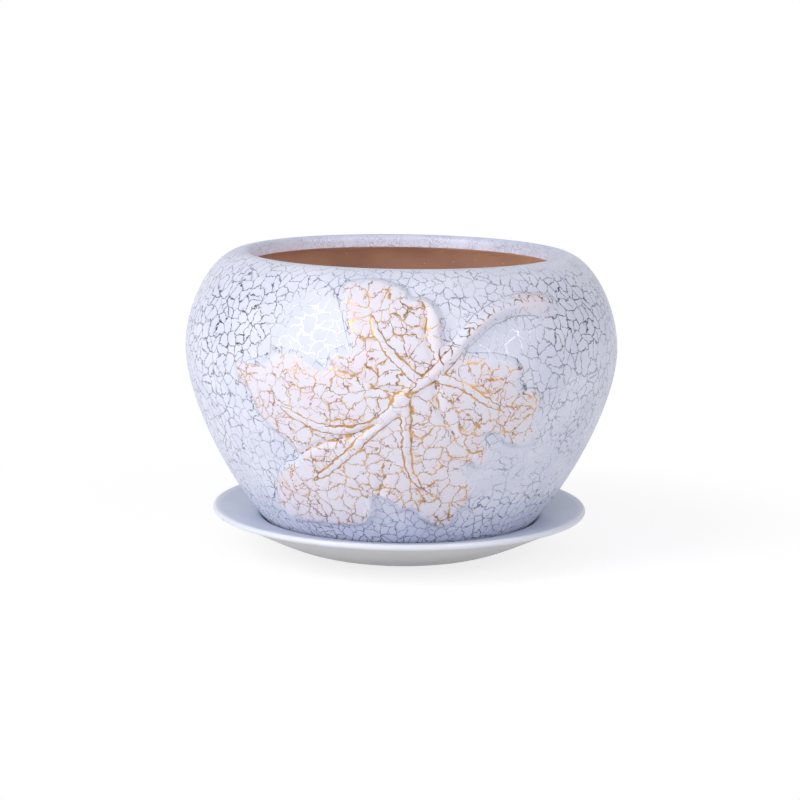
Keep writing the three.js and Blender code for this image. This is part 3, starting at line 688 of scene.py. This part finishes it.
class Graph:
    """Builds the nodes of a material or of the world with few words."""

    def __init__(self, owner, output="ShaderNodeOutputMaterial"):
        owner.use_nodes = True
        self.owner = owner
        self.tree = owner.node_tree
        self.tree.nodes.clear()
        self.output = self.tree.nodes.new(output)

    def link(self, source, target):
        """Feeds an input with a number, a colour, an output or a node's first output."""
        if isinstance(source, bpy.types.Node):
            source = source.outputs[0]
        if isinstance(source, bpy.types.NodeSocket):
            self.tree.links.new(source, target)
        elif target.type == "RGBA":
            target.default_value = (*source, 1)
        else:
            target.default_value = source

    def node(self, kind, settings=None, *values, **inputs):
        """A node with its settings, and with its inputs given in their order or by name."""
        node = self.tree.nodes.new(kind)
        for name, value in (settings or {}).items():
            setattr(node, name, value)
        for value, socket in zip(values, node.inputs):
            self.link(value, socket)
        for name, value in inputs.items():
            self.link(value, node.inputs[name.replace("_", " ")])
        return node

    def finish(self, shader):
        self.link(shader, self.output.inputs["Surface"])
        return self.owner

    def math(self, operation, *values, clamp=False):
        settings = {"operation": operation, "use_clamp": clamp}
        return self.node("ShaderNodeMath", settings, *values).outputs[0]

    def product(self, *factors):
        result, *others = factors
        for factor in others:
            result = self.math("MULTIPLY", result, factor)
        return result

    def most(self, *values):
        result, *others = values
        for value in others:
            result = self.math("MAXIMUM", result, value)
        return result

    def less(self, amount, share):
        """A factor that falls from 1 by the given amount as the share rises to 1."""
        return self.math("MULTIPLY_ADD", share, -amount, 1.0)

    def size_of(self, value):
        return self.math("ABSOLUTE", value)

    def vector(self, operation, *values, output="Vector", **inputs):
        node = self.node("ShaderNodeVectorMath", {"operation": operation}, *values, **inputs)
        return node.outputs[output]

    def facing(self, direction, towards):
        """Cosine between a direction and a fixed one."""
        return self.vector(
            "DOT_PRODUCT", direction, Vector(towards).normalized(), output="Value")

    def centred(self, colour):
        """A noise's colour as a vector about nought."""
        return self.vector("SUBTRACT", colour, (0.5, 0.5, 0.5))

    def scaled(self, vector, factor):
        return self.vector("SCALE", vector, Scale=factor)

    def parts(self, vector):
        return self.node("ShaderNodeSeparateXYZ", Vector=vector).outputs

    def pair(self, x, y):
        return self.node("ShaderNodeCombineXYZ", X=x, Y=y).outputs[0]

    def ramp(self, value, low, high, to_low=0.0, to_high=1.0):
        """Eases a value from one pair of limits to another."""
        settings = {"interpolation_type": "SMOOTHSTEP"}
        node = self.node("ShaderNodeMapRange", settings, value, low, high, to_low, to_high)
        return node.outputs[0]

    def mix(self, share, low, high, kind="RGBA", first=6, result=2):
        """A colour between two others. The node has its own inputs for each kind of value."""
        node = self.node("ShaderNodeMix", {"data_type": kind}, share)
        self.link(low, node.inputs[first])
        self.link(high, node.inputs[first + 1])
        return node.outputs[result]

    def mix_number(self, share, low, high):
        return self.mix(share, low, high, "FLOAT", 2, 0)

    def noise(self, place, size, detail=2.0, offset=(0, 0, 0), roughness=0.5, output="Fac"):
        """Noise with grains of about the given size in millimetres."""
        node = self.node("ShaderNodeTexNoise", Vector=self.vector("ADD", place, offset),
                         Scale=1 / size, Detail=detail, Roughness=roughness)
        return node.outputs[output]

    def edges(self, place, size, shift=(0, 0, 0)):
        """Distance to the nearest wall between flat cells, in millimetres."""
        settings = {"feature": "DISTANCE_TO_EDGE", "voronoi_dimensions": "2D"}
        node = self.node("ShaderNodeTexVoronoi", settings, Scale=1 / size,
                         Vector=self.vector("ADD", place, shift))
        return self.product(node.outputs["Distance"], size)

    def line(self, distance, half_width, blur=0.15):
        """1 on a line of the given half width, easing to 0 beside it."""
        outer = self.math("ADD", half_width, blur)
        return self.ramp(distance, outer, self.product(half_width, LINE_CORE))

    def glow(self, strength):
        return self.node("ShaderNodeEmission", None, WHITE, strength)

    def attribute(self, name, output="Fac"):
        return self.node("ShaderNodeAttribute", {"attribute_name": name}).outputs[output]

    def place(self):
        """Place on the piece in millimetres."""
        return self.scaled(self.node("ShaderNodeTexCoord").outputs["Object"], 1 / MM)


def srgb(red, green, blue):
    """Linear colour of a colour given as it looks, from 0 to 255."""
    return tuple(
        c / 12.92 if c <= 0.04045 else ((c + 0.055) / 1.055) ** 2.4
        for c in (red / 255, green / 255, blue / 255)
    )


WHITE = (1, 1, 1)
GLAZE = srgb(224, 226, 242)
GLAZE_CLOUD = srgb(216, 219, 238)
LEAF_GLAZE = srgb(227, 223, 236)
LEAF_BLUSH = srgb(228, 219, 232)
LIP_GLAZE = srgb(214, 218, 240)
HALO = srgb(216, 196, 180)
SILVER = srgb(200, 202, 214)
SILVER_DARK = srgb(150, 154, 168)
GOLD = srgb(208, 167, 116)
BRONZE = srgb(158, 118, 80)
RUST = srgb(142, 106, 80)
CLAY = srgb(176, 141, 122)
CLAY_DARK = srgb(163, 129, 111)
CLAY_PALE = srgb(214, 190, 174)
SAUCER_GLAZE = srgb(212, 218, 234)
SAUCER_CLOUD = srgb(206, 213, 230)
# Paler rim colour: partly the rim's thinner glaze, partly a painted highlight
SAUCER_RIM_THIN_GLAZE_AND_HIGHLIGHT = srgb(226, 229, 239)
SAUCER_UNDER = srgb(201, 200, 203)

# Crackle: the cells' sizes and the cracks' half widths, in millimetres
WALL_CELL = 6.4
LEAF_CELL = 8.2
FINE_CELL = 5.2
STEM_CELL = 4.2
SPUR_CELL = 3.0
WALL_CRACK = 0.21
SIDE_SWELL = 1.5
LEAF_CRACK = 0.235
FINE_CRACK = 0.11
STEM_CRACK = 0.2
SPUR_CRACK = 0.12
LIP_CRACK = 0.07
EDGE_CRACK = 0.15
RIB_CRACK = 0.46
CREASE_CRACK = 0.44
WALL_SPUR_REACH = 1.7
LEAF_SPUR_REACH = 2.2
LINE_CORE = 0.6
THIN_LINE = 0.1

# Where each network of cracks lies on its endless pattern
WALL_SHIFT = (91, 713, 0)
LEAF_SHIFT = (150, 0, 0)
FINE_SHIFT = (0, 150, 0)
SPUR_SHIFT = (300, 300, 0)

# How the cracks wander: the size and the amount of each bend, and of the small jags
BENDS = [(13, 8, (5, 0, 0)), (3.4, 2.4, (40, 0, 0)), (1.7, 1.25, (0, 80, 0))]
JAG_CELL = 1.5
JAG = 0.7
SEAM_SWAY_SIZE = 9
SEAM_SWAY = 16
BACK_SHIFT = 1000.0
STEM_WANDER = 3.4
STEM_STRETCH = 0.6
LINE_WANDER = 1.7
LINE_JAG = 0.6
EDGE_WANDER = 0.9

# Shared noises: the grains' size, detail and offset
PATCH = (12, 1.0, (0, 0, 55))
PINCH = (2.4, 1.0, (23, 5, 0))
BREAK_UP = (5, 1.0, (0, 31, 7))
WANDER = (3.4, 0.0, (61, 0, 9))
SPECKLE = (0.9, 1.0, (3, 0, 0))
CLOUD = (26, 2.0)
GRAIN = (0.9, 2.0)

# Limits, in millimetres, between which one finish gives way to another
GOLD_DEPTH = (1.6, 4.2)
BLUSH_DEPTH = (1.0, 6.0)
LINES_DEPTH = (1.6, 3.6)
OUTLINE_DEPTH = (-0.4, 1.2)
LEAF_UNEVEN = 10
STEM_EDGE = (8, 6)
RIB_EDGE = (0.6, -0.6)

# Ramps: two limits of a noise, a length or a width, then the factor or the width at each
WALL_SWELL = (0.3, 0.65, 0.85, 1.15)
WALL_PINCH = (0.25, 0.75, 0.88, 1.12)
BOLD_SIDES = (62, 106, WALL_CRACK, WALL_CRACK * SIDE_SWELL)
LEAF_SWELL = (0.3, 0.6, 0.45, 1.2)
LEAF_PINCH = (0.25, 0.75, 0.75, 1.25)
LEAF_PATCHES = (0.35, 0.65, 0.7, 1.35)
FAINT_LEFT = (-74, -22, 0.5, 1.0)
FINE_PATCHES = (0.48, 0.6, 0.0, FINE_CRACK)
STEM_BREAKS = (0.3, 0.5, 0.05, STEM_CRACK)
STEM_TOP_CRACKS = (0.6, -0.8)
STEM_LOW_CRACKS = (1.4, 2.4, 0.0, 0.4)
THIN_FADE = (0.02, 0.1)
SPUR_STARTS = (0.46, 0.6, 0.05, 1.0)
SPUR_FADE = (0.05, 0.4)
OUTLINE_PATCHES = (0.38, 0.5, 0.25, 0.95)
LIP_SPECKLE = (0.5, 0.66, 0.0, 0.45)
LIP_HAIRS = (0.35, 0.6, 0.0, LIP_CRACK)
LIP_PATCHES = (0.35, 0.5, 0.0, 0.8)
HALO_REACH = (0.9, 0.0, 0.0, 0.3)
HALO_WIDTH = (0.15, 0.45)

GLAZE_ROUGHNESS = 0.55
GLAZE_SPECULAR = 0.3
SILVER_ROUGHNESS = 0.27
GOLD_ROUGHNESS = 0.38
CRACK_DEPTH = 0.00014
CLAY_ROUGHNESS = 0.9
CLAY_RELIEF = 0.0003
SAUCER_ROUGHNESS = (0.38, 0.5)
SAUCER_RELIEF = 0.0002


def flat_wall(g, place):
    """The wall laid flat from the front and from the back, and how far past their seam."""
    unrolled = g.parts(g.attribute("unrolled", "Vector"))
    sway = g.product(g.math("SUBTRACT", g.noise(place, SEAM_SWAY_SIZE), 0.5), SEAM_SWAY)
    past_side = g.math("SUBTRACT", g.size_of(unrolled["X"]), np.pi / 2 * BELLY_RADIUS)
    past_side = g.math("ADD", past_side, sway)
    behind = g.math("GREATER_THAN", past_side, 0.0)
    across = g.mix_number(behind, unrolled["X"], g.math("ADD", unrolled["Z"], BACK_SHIFT))
    return g.pair(across, unrolled["Y"]), g.size_of(past_side)


def bend(g, place, flat):
    """The flat wall bent so that its cells' edges run like cracks, and the jags' own shift."""
    cells = g.node("ShaderNodeTexVoronoi", {"voronoi_dimensions": "2D"}, Vector=flat,
                   Scale=1 / JAG_CELL)
    jag = g.scaled(g.centred(cells.outputs["Color"]), JAG)
    bent = g.vector("ADD", flat, jag)
    for size, amount, offset in BENDS:
        wobble = g.centred(g.noise(place, size, 0.0, offset, output="Color"))
        bent = g.vector("ADD", bent, g.scaled(wobble, amount))
    return bent, g.parts(jag)["X"]


class CrackleGlaze:
    """Pale glaze over silver, and over gold on the leaf, which show through its cracks.

    Its values are the outputs of nodes. Shares run from 0 to 1, and lengths are millimetres.
    """

    def __init__(self):
        self.g = g = Graph(bpy.data.materials.new("crackle_glaze"))
        self.place = g.place()
        self.depth = g.attribute("leaf_depth")
        self.lip = g.attribute("lip")
        self.across = g.parts(self.place)["X"]
        self.patch, self.pinch, self.break_up, wander = (
            self.noise(grains) for grains in (PATCH, PINCH, BREAK_UP, WANDER))
        self.wander = g.math("SUBTRACT", wander, 0.5)
        self.find_zones()
        self.find_networks()
        self.find_widths()

    def noise(self, grains):
        return self.g.noise(self.place, *grains)

    def find_zones(self):
        """How far each point belongs to the leaf, its stem, its ribs and its bare edge."""
        g = self.g
        self.stem_side = g.attribute("stem_side")
        uneven = g.product(g.math("SUBTRACT", self.patch, 0.5), LEAF_UNEVEN)
        self.ragged_depth = g.math("ADD", self.depth, uneven)
        self.on_leaf = g.ramp(self.ragged_depth, *GOLD_DEPTH)
        in_outline = g.ramp(self.depth, *OUTLINE_DEPTH)
        self.on_stem = g.product(g.ramp(g.size_of(self.stem_side), *STEM_EDGE), in_outline)
        self.in_rib = g.product(g.ramp(g.attribute("rib_side"), *RIB_EDGE), self.on_leaf)
        self.not_leaf = g.less(1, self.on_leaf)
        self.not_stem = g.less(1, self.on_stem)
        self.bare_edge = g.product(in_outline, self.not_leaf)

    def find_networks(self):
        """Distances to the edges of the cells that each network of cracks follows."""
        g = self.g
        flat, self.from_seam = flat_wall(g, self.place)
        bent, self.jag = bend(g, self.place, flat)
        self.wall_edge = g.edges(bent, WALL_CELL, WALL_SHIFT)
        self.leaf_edge = g.edges(bent, LEAF_CELL, LEAF_SHIFT)
        self.fine_edge = g.edges(bent, FINE_CELL, FINE_SHIFT)
        self.spur_edge = g.edges(bent, SPUR_CELL, SPUR_SHIFT)
        self.main_edge = g.mix_number(self.on_leaf, self.wall_edge, self.leaf_edge)
        along_stem = g.math("MULTIPLY_ADD", self.wander, STEM_WANDER, g.attribute("stem_along"))
        self.stem_edge = g.edges(g.pair(
            g.math("ADD", along_stem, self.jag), g.product(self.stem_side, STEM_STRETCH),
        ), STEM_CELL)

    def find_widths(self):
        """Half widths of the networks' cracks, which swell and pinch along their way."""
        g = self.g
        self.wall_width = g.product(
            g.ramp(self.break_up, *WALL_SWELL), g.ramp(self.pinch, *WALL_PINCH),
            g.ramp(g.size_of(self.across), *BOLD_SIDES),
            self.not_leaf, g.less(0.5, self.bare_edge), self.not_stem)
        self.leaf_swell = g.product(
            g.ramp(self.break_up, *LEAF_SWELL), g.ramp(self.pinch, *LEAF_PINCH),
            g.ramp(self.patch, *LEAF_PATCHES), g.ramp(self.across, *FAINT_LEFT))
        self.leaf_width = g.product(
            self.leaf_swell, LEAF_CRACK, self.on_leaf, self.not_stem, g.less(0.6, self.in_rib))
        self.fine_width = g.product(
            g.ramp(self.patch, *FINE_PATCHES),
            self.on_leaf, self.not_stem, g.less(1, self.in_rib))
        band = g.math("ADD", g.ramp(self.stem_side, *STEM_TOP_CRACKS),
                      g.ramp(self.stem_side, *STEM_LOW_CRACKS))
        self.stem_width = g.product(g.ramp(self.break_up, *STEM_BREAKS), self.on_stem, band)

    def networks(self):
        """Cracks between the cells, and along the seam of the wall's two flat halves."""
        g = self.g
        return g.most(*(
            g.product(g.line(distance, width), g.ramp(width, *THIN_FADE))
            for distance, width in (
                (self.wall_edge, self.wall_width), (self.leaf_edge, self.leaf_width),
                (self.fine_edge, self.fine_width), (self.stem_edge, self.stem_width),
                (self.from_seam, self.wall_width),
            )
        ))

    def spurs(self):
        """Short spurs that leave the main cracks and die out."""
        g = self.g
        reach = g.mix_number(self.on_leaf, WALL_SPUR_REACH, LEAF_SPUR_REACH)
        reach = g.product(g.ramp(self.pinch, *SPUR_STARTS), reach)
        taper = g.product(
            g.math("SUBTRACT", 1.0, g.math("DIVIDE", self.main_edge, reach), clamp=True),
            g.less(0.8, self.in_rib), self.not_stem, g.less(0.8, self.bare_edge))
        spur = g.line(self.spur_edge, g.product(taper, SPUR_CRACK), THIN_LINE)
        return g.product(spur, g.ramp(taper, *SPUR_FADE))

    def leaf_lines(self):
        """Cracks that follow the ribs, the creases and the leaf's outline."""
        g = self.g
        shift = g.product(self.jag, LINE_JAG)
        shift = g.math("MULTIPLY_ADD", self.wander, LINE_WANDER, shift)
        rib_side = g.size_of(g.math("ADD", g.attribute("rib_side"), shift))
        rib_width = g.product(self.leaf_swell, RIB_CRACK, g.less(0.75, self.on_stem))
        crease_side = g.size_of(g.math("ADD", g.attribute("crease_near"), shift))
        crease_width = g.product(self.leaf_swell, CREASE_CRACK)
        lines = g.product(
            g.most(g.line(rib_side, rib_width), g.line(crease_side, crease_width)),
            g.ramp(self.depth, *LINES_DEPTH))
        outline = g.size_of(g.math("MULTIPLY_ADD", self.wander, EDGE_WANDER, self.depth))
        outline = g.product(g.line(outline, EDGE_CRACK), g.ramp(self.patch, *OUTLINE_PATCHES))
        return g.most(lines, outline)

    def thin_glaze(self):
        """The lip's fine grey speckle and hair cracks, which take the place of wide ones."""
        g = self.g
        speckle = g.ramp(self.noise(SPECKLE), *LIP_SPECKLE)
        hairs = g.product(
            g.line(self.spur_edge, g.ramp(self.break_up, *LIP_HAIRS), THIN_LINE),
            g.ramp(self.break_up, *LIP_PATCHES))
        return g.product(g.most(speckle, hairs), self.lip)

    def metal_colour(self):
        g = self.g
        gilt = g.mix(g.ramp(self.break_up, 0.35, 0.65), BRONZE, GOLD)
        gilt = g.mix(self.on_stem, gilt, RUST)
        silver = g.mix(g.ramp(self.patch, 0.35, 0.6), SILVER, SILVER_DARK)
        return g.mix(g.most(self.on_leaf, self.on_stem), silver, gilt)

    def glaze_colour(self):
        """Cloudy lavender, blushing on the leaf, with a warm halo along its wide cracks."""
        g = self.g
        blush = g.mix(g.ramp(self.patch, 0.45, 0.7), LEAF_GLAZE, LEAF_BLUSH)
        halo = g.ramp(g.math("SUBTRACT", self.main_edge, self.leaf_width), *HALO_REACH)
        halo = g.product(halo, g.ramp(self.leaf_width, *HALO_WIDTH))
        blush = g.mix(halo, blush, HALO)
        cloud = g.mix(g.ramp(self.noise(CLOUD), 0.35, 0.65), GLAZE, GLAZE_CLOUD)
        glaze = g.mix(g.ramp(self.ragged_depth, *BLUSH_DEPTH), cloud, blush)
        return g.mix(self.lip, glaze, LIP_GLAZE)

    def finish(self):
        """The glazed surface, which is metal where it is cracked."""
        g = self.g
        cracks = g.most(self.networks(), self.spurs(), self.leaf_lines())
        cracks = g.most(g.product(cracks, g.less(0.9, self.lip)), self.thin_glaze())
        height = g.math("SUBTRACT", g.product(self.noise(GRAIN), 0.03), cracks)
        relief = g.node("ShaderNodeBump", Strength=0.4, Distance=CRACK_DEPTH, Height=height)
        rough_metal = g.mix_number(self.on_leaf, SILVER_ROUGHNESS, GOLD_ROUGHNESS)
        return g.finish(g.node(
            "ShaderNodeBsdfPrincipled", Metallic=cracks, Normal=relief,
            Base_Color=g.mix(cracks, self.glaze_colour(), self.metal_colour()),
            Roughness=g.mix_number(cracks, GLAZE_ROUGHNESS, rough_metal),
            Specular_IOR_Level=GLAZE_SPECULAR))


def bare_clay():
    g = Graph(bpy.data.materials.new("bare_clay"))
    place = g.place()
    specks = g.ramp(g.noise(place, 1.6, 1.0, (5, 0, 3)), 0.72, 0.78)
    colour = g.mix(g.ramp(g.noise(place, 30, 3.0), 0.35, 0.65), CLAY, CLAY_DARK)
    colour = g.mix(specks, colour, CLAY_PALE)
    grain = g.noise(place, 0.8, 3.0, roughness=0.7)
    relief = g.node("ShaderNodeBump", Strength=0.5, Distance=CLAY_RELIEF, Height=grain)
    return g.finish(g.node("ShaderNodeBsdfPrincipled", Base_Color=colour, Normal=relief,
                           Roughness=CLAY_ROUGHNESS))


def saucer_glaze():
    g = Graph(bpy.data.materials.new("saucer_glaze"))
    place = g.place()
    grain = g.noise(place, 0.7, roughness=0.6)
    colour = g.mix(g.ramp(g.noise(place, 25), 0.3, 0.7), SAUCER_GLAZE, SAUCER_CLOUD)
    colour = g.mix(g.attribute("underside"), colour, SAUCER_UNDER)
    # A paler rim: partly thinner glaze, partly a painted highlight
    colour = g.mix(g.attribute("edge"), colour, SAUCER_RIM_THIN_GLAZE_AND_HIGHLIGHT)
    relief = g.node("ShaderNodeBump", Strength=0.35, Distance=SAUCER_RELIEF, Height=grain)
    return g.finish(g.node("ShaderNodeBsdfPrincipled", Base_Color=colour, Normal=relief,
                           Roughness=g.ramp(grain, 0.3, 0.7, *SAUCER_ROUGHNESS)))


# Studio

CAMERA_BACK = 1.315
CAMERA_HEIGHT = 0.3092
TARGET_HEIGHT = 0.0827
CAMERA_ROLL = 0.8
LENS = 109.5
SENSOR = 36
PICTURE_SHIFT = -0.7 / 800

LAMP_DISTANCE = 1.6
LEFT_LAMP = (-0.694, -0.597, 0.405)
INNER_LIGHT_RADIUS = 0.025
INNER_LIGHT_POWER = 0.19
INNER_LIGHT_PLACE = (0.046, 0, 0.085)

FLOOR_REACH = 6
FLOOR_COLOUR = (0.88, 0.88, 0.88)
FLOOR_SHADOW = (0.33, 0.33, 0.34)
FLOOR_GLOW = 0.77
FLOOR_FADE = (0.16, 0.32)
FILL_COLOUR = (0.42, 0.42, 0.425)
DARK_SIDES = [(-0.93, 0.2, 0.3), (0.88, 0.32, 0.3)]
DARK_SIDE_EDGE = (0.74, 0.95)
DARK_SIDE_DEPTH = 0.8
WINDOW = (0.7, -0.6, 0.4)
WINDOW_EDGE = (0.925, 0.965)
WINDOW_LEVEL = 3.2
ROOM_LEVEL = 0.45
ROOM_EDGE = (0.15, -0.25)
ROOM_TILT = 0.6


def make_camera():
    data = bpy.data.cameras.new("camera")
    data.lens = LENS
    data.sensor_width = SENSOR
    data.shift_x = PICTURE_SHIFT
    camera = add_object("camera", data)
    camera.location = (0, -CAMERA_BACK, CAMERA_HEIGHT)
    look = Vector((0, 0, TARGET_HEIGHT)) - camera.location
    turn = look.to_track_quat("-Z", "Y").to_matrix().to_4x4()
    roll = Matrix.Rotation(math.radians(CAMERA_ROLL), 4, "Z")
    camera.rotation_euler = (turn @ roll).to_euler()
    bpy.context.scene.camera = camera


def make_softbox(name, direction, width, height, radiance):
    """A rectangular lamp that faces the pot, as bright as its radiance says."""
    data = bpy.data.lights.new(name, "AREA")
    data.shape = "RECTANGLE"
    data.size = width
    data.size_y = height
    data.energy = radiance * math.pi * width * height
    lamp = add_object(name, data)
    target = Vector((0, 0, TARGET_HEIGHT))
    lamp.location = target + Vector(direction).normalized() * LAMP_DISTANCE
    lamp.rotation_euler = (target - lamp.location).to_track_quat("-Z", "Y").to_euler()
    return lamp


def make_inner_light():
    """Light from inside the pot, for what its pale walls throw back up under the shoulder."""
    data = bpy.data.lights.new("inner_light", "POINT")
    data.shadow_soft_size = INNER_LIGHT_RADIUS
    data.energy = INNER_LIGHT_POWER
    lamp = add_object("inner_light", data)
    lamp.location = INNER_LIGHT_PLACE
    lamp.visible_camera = False
    lamp.visible_glossy = False


def make_floor():
    """A white floor. Near the object it keeps the shadow, and further out it just glows."""
    g = Graph(bpy.data.materials.new("studio_floor"))
    path = g.node("ShaderNodeLightPath").outputs
    seen = g.most(
        path["Is Camera Ray"], path["Is Glossy Ray"], path["Is Transmission Ray"])
    ground = g.node("ShaderNodeTexCoord").outputs["Object"]
    away = g.ramp(g.vector("LENGTH", ground, output="Value"), *FLOOR_FADE)
    plain = g.node("ShaderNodeBsdfDiffuse", None, FLOOR_COLOUR)
    shadowed = g.node("ShaderNodeBsdfDiffuse", None, FLOOR_SHADOW)
    near = g.node("ShaderNodeAddShader", None, shadowed, g.glow(FLOOR_GLOW))
    white = g.node("ShaderNodeMixShader", None, away, near, g.glow(1.0))
    material = g.finish(g.node("ShaderNodeMixShader", None, seen, plain, white))
    far = FLOOR_REACH
    corners = [(-far, -far, 0), (far, -far, 0), (far, far, 0), (-far, far, 0)]
    floor = new_mesh_object("studio_floor", corners, [(0, 1, 2, 3)])
    floor.data.materials.append(material)


def make_world():
    """A white backdrop, with a darker room on the camera's side where metal mirrors it."""
    g = Graph(bpy.data.worlds.new("studio"), "ShaderNodeOutputWorld")
    path = g.node("ShaderNodeLightPath").outputs
    seen = g.most(path["Is Camera Ray"], path["Is Transmission Ray"])
    direction = g.node("ShaderNodeTexCoord").outputs["Generated"]
    towards = g.parts(direction)
    ahead = g.math("MULTIPLY_ADD", g.most(towards["Z"], 0.0), ROOM_TILT, towards["Y"])
    studio = g.ramp(ahead, *ROOM_EDGE, 1.0, ROOM_LEVEL)
    for middle in DARK_SIDES:
        side = g.ramp(g.facing(direction, middle), *DARK_SIDE_EDGE, 0.0, DARK_SIDE_DEPTH)
        studio = g.product(studio, g.less(1, side))
    window = g.ramp(g.facing(direction, WINDOW), *WINDOW_EDGE, 0.0, WINDOW_LEVEL)
    mirrored = g.product(g.most(studio, window), path["Is Glossy Ray"])
    backdrop = g.node("ShaderNodeBackground", None, WHITE, g.most(seen, mirrored))
    fill = g.node("ShaderNodeBackground", None, FILL_COLOUR)
    shown = g.most(seen, path["Is Glossy Ray"])
    bpy.context.scene.world = g.finish(
        g.node("ShaderNodeMixShader", None, shown, fill, backdrop))


bpy.context.scene.view_settings.view_transform = "Standard"
make_camera()
make_world()
make_floor()
make_inner_light()
make_softbox("left_softbox", LEFT_LAMP, width=0.86, height=1.4, radiance=4.5)
right = make_softbox("right_softbox", WINDOW, width=1.1, height=0.9, radiance=2.2)
# The world's window stands in for it in what metal mirrors
right.visible_glossy = False

pot = make_pot()
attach(pot, "pot")
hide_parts("pot")

saucer = make_saucer()
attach(saucer, "saucer")
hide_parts("saucer")
